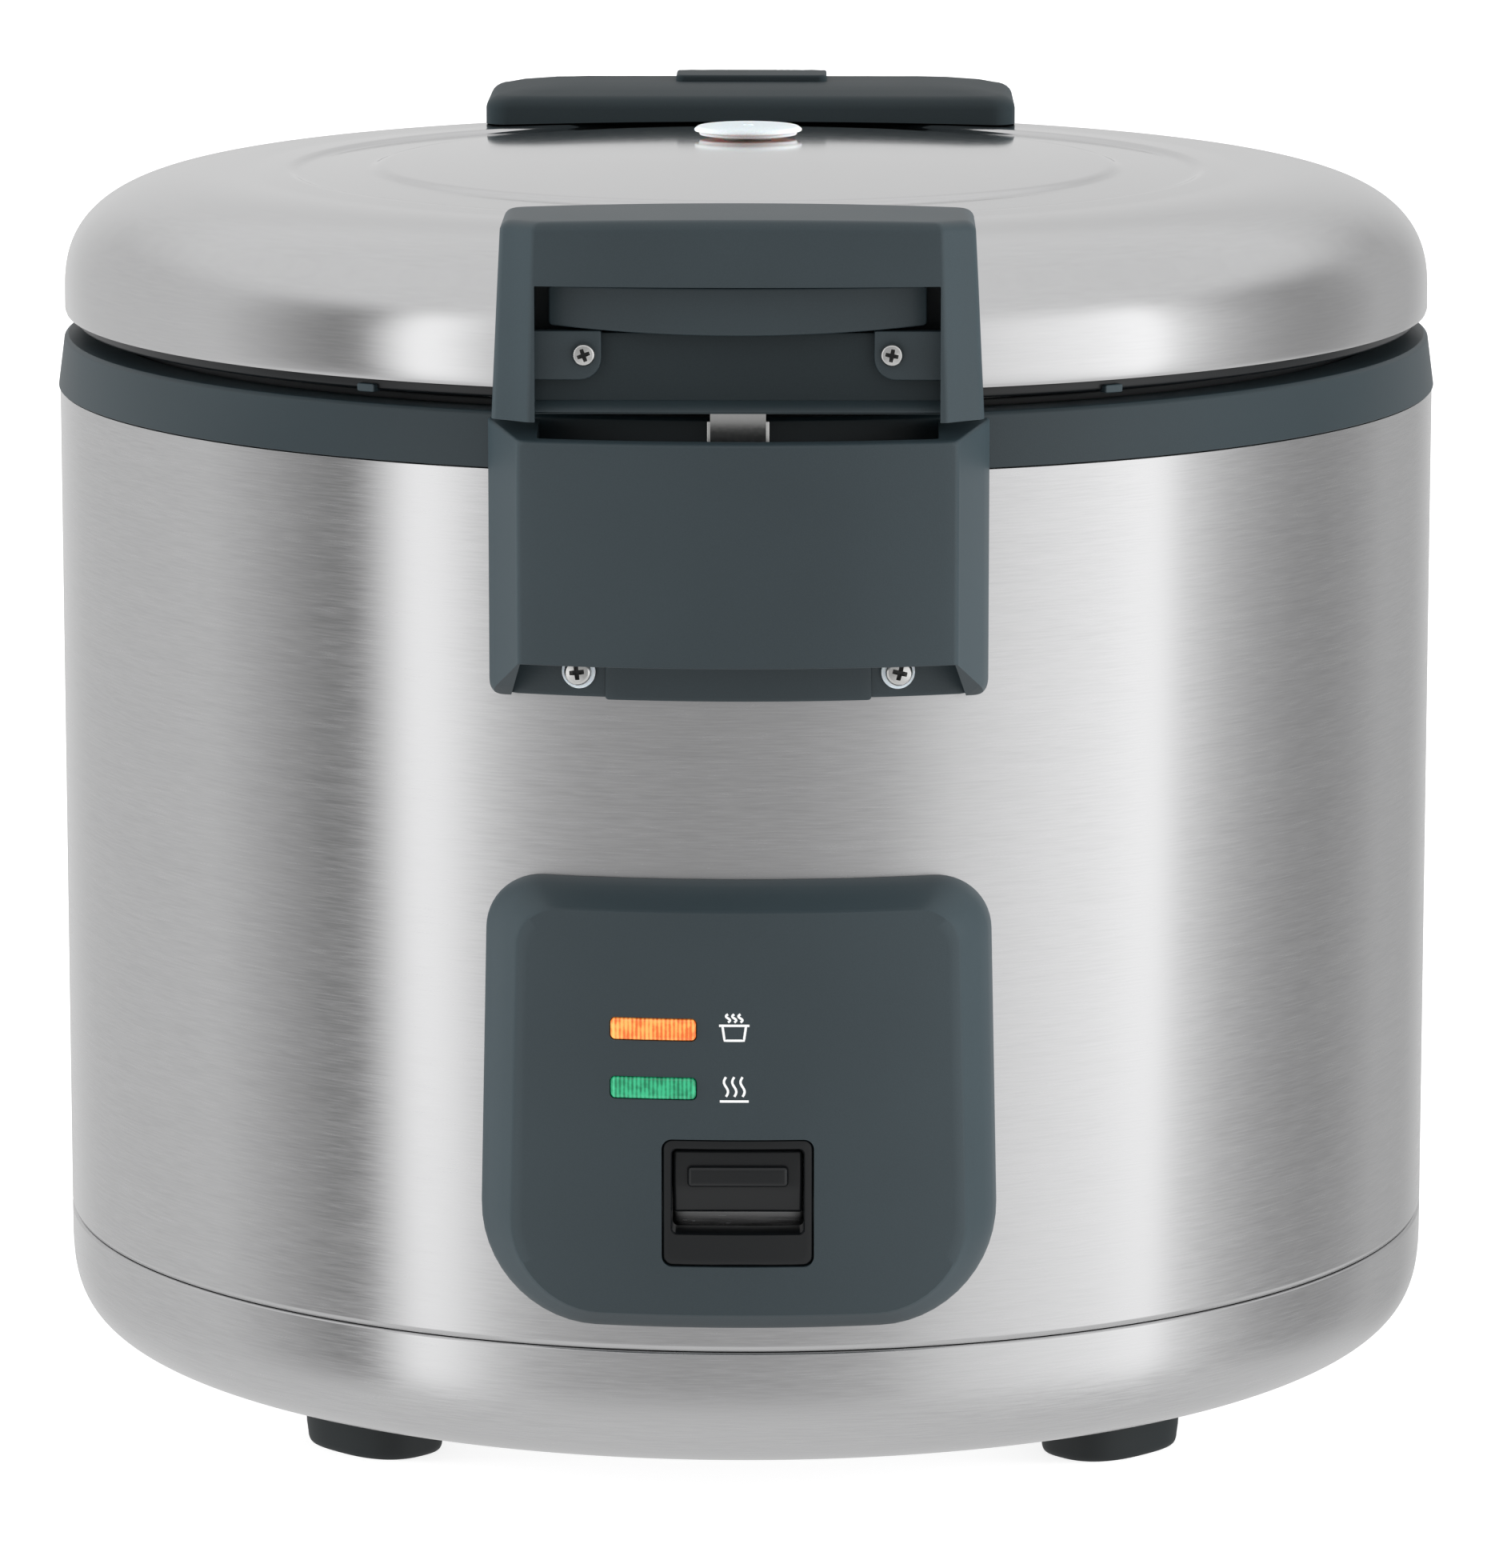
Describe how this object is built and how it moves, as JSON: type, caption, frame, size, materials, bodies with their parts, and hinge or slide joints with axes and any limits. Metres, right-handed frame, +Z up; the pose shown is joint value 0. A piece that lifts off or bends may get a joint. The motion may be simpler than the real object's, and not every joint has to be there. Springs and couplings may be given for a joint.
{
  "type": "rice cooker",
  "caption": "Drum-shaped rice cooker with a rear-hinged domed lid, front lift latch, lift-off steam cap and a cook lever with two lamps.",
  "frame": {"origin": "on the surface that the feet stand on, in the drum's axis, half way between the foremost and rearmost points", "axes": "+Z up, -Y towards the latch and control panel, +X to the right seen from the front"},
  "size_m": [0.43, 0.486, 0.3939],
  "materials": {
    "steel_body": "brushed",
    "dark_plastic": "fine matte grain",
    "black_plastic": "satin",
    "white_plastic": "satin, slightly translucent",
    "clear_plastic": "clear",
    "steel_parts": "plain bright steel",
    "aluminium": "spun",
    "rubber": "matte",
    "silicone": "matte",
    "insulation": "fibre mat",
    "orange_lens": "translucent",
    "green_lens": "translucent"
  },
  "bodies": {
    "base": {"base_pan": "steel_body", "bottom_cover": "steel_body", "outer_shell": "steel_body", "rim_collar": "dark_plastic", "control_panel": "dark_plastic", "latch_housing": "dark_plastic", "hinge_bracket": "dark_plastic", "drip_cup_holder": "dark_plastic", "switch_bezel": "black_plastic", "power_inlet": "black_plastic", "micro_switch": "black_plastic", "latch_washer_left": "white_plastic", "latch_washer_right": "white_plastic", "heat_shield": "steel_parts", "plate_stand": "steel_parts", "heating_element": "steel_parts", "thermostat_housing": "steel_parts", "thermostat_spring": "steel_parts", "lever_bracket": "steel_parts", "lever_pin": "steel_parts", "latch_screw_left": "steel_parts", "latch_screw_right": "steel_parts", "striker_plate": "steel_parts", "hinge_pin": "steel_parts", "hinge_spring": "steel_parts", "inner_pot": "aluminium", "heating_plate": "aluminium", "thermostat_cap": "aluminium", "foot_front_left": "rubber", "foot_front_right": "rubber", "foot_rear_left": "rubber", "foot_rear_right": "rubber", "cooking_lamp": "orange_lens", "warming_lamp": "green_lens", "lamp_board": "green_lens"},
    "lid": {"lid_shell": "steel_body", "lid_rim": "dark_plastic", "inner_lid": "aluminium", "lid_gasket": "silicone", "lid_insulation": "insulation", "vent_tube": "silicone", "hinge_cover": "dark_plastic", "hinge_cover_plate": "dark_plastic", "hinge_knuckle_left": "steel_parts", "hinge_knuckle_right": "steel_parts", "lid_handle": "dark_plastic", "handle_base": "dark_plastic", "handle_screw_left": "steel_parts", "handle_screw_right": "steel_parts", "paddle_pin": "steel_parts", "paddle_spring": "steel_parts"},
    "release": {"release_paddle": "dark_plastic", "latch_hook": "steel_parts"},
    "cook_lever": {"cook_switch": "black_plastic", "switch_arm": "steel_parts"},
    "magnet": {"magnet_rod": "steel_parts"},
    "vent_cap": {"steam_vent_cap": "white_plastic"},
    "condensate_cup": {"drip_cup": "clear_plastic"}
  },
  "joints": [
    {"name": "lid_hinge", "type": "hinge", "parent": "base", "child": "lid", "pos_m": [0, 0.2265, 0.338], "axis": [-1, 0, 0], "range_deg": [0, 85]},
    {"name": "paddle_lift", "type": "hinge", "parent": "lid", "child": "release", "pos_m": [0, -0.2175, 0.345], "axis": [-1, 0, 0], "range_deg": [0, 8], "stiffness_Nm_per_rad": 0.3, "springref_deg": -5.73},
    {"name": "cook_lever_tilt", "type": "hinge", "parent": "base", "child": "cook_lever", "pos_m": [0, -0.11, 0.062], "axis": [1, 0, 0], "range_deg": [0, 2.2], "stiffness_Nm_per_rad": 2, "springref_deg": -8.59},
    {"name": "magnet_lift", "type": "slide", "parent": "base", "child": "magnet", "axis": [0, 0, 1], "range_m": [0, 0.0043]},
    {"name": "vent_cap_lift", "type": "slide", "parent": "lid", "child": "vent_cap", "axis": [0, 0, 1], "range_m": [0, 0.02]},
    {"name": "drip_cup_pull", "type": "slide", "parent": "base", "child": "condensate_cup", "axis": [0, 1, 0], "range_m": [0, 0.06]}
  ],
  "couplings": [
    {"joint": "magnet_lift", "follows": "cook_lever_tilt", "m_per_rad": 0.11}
  ]
}
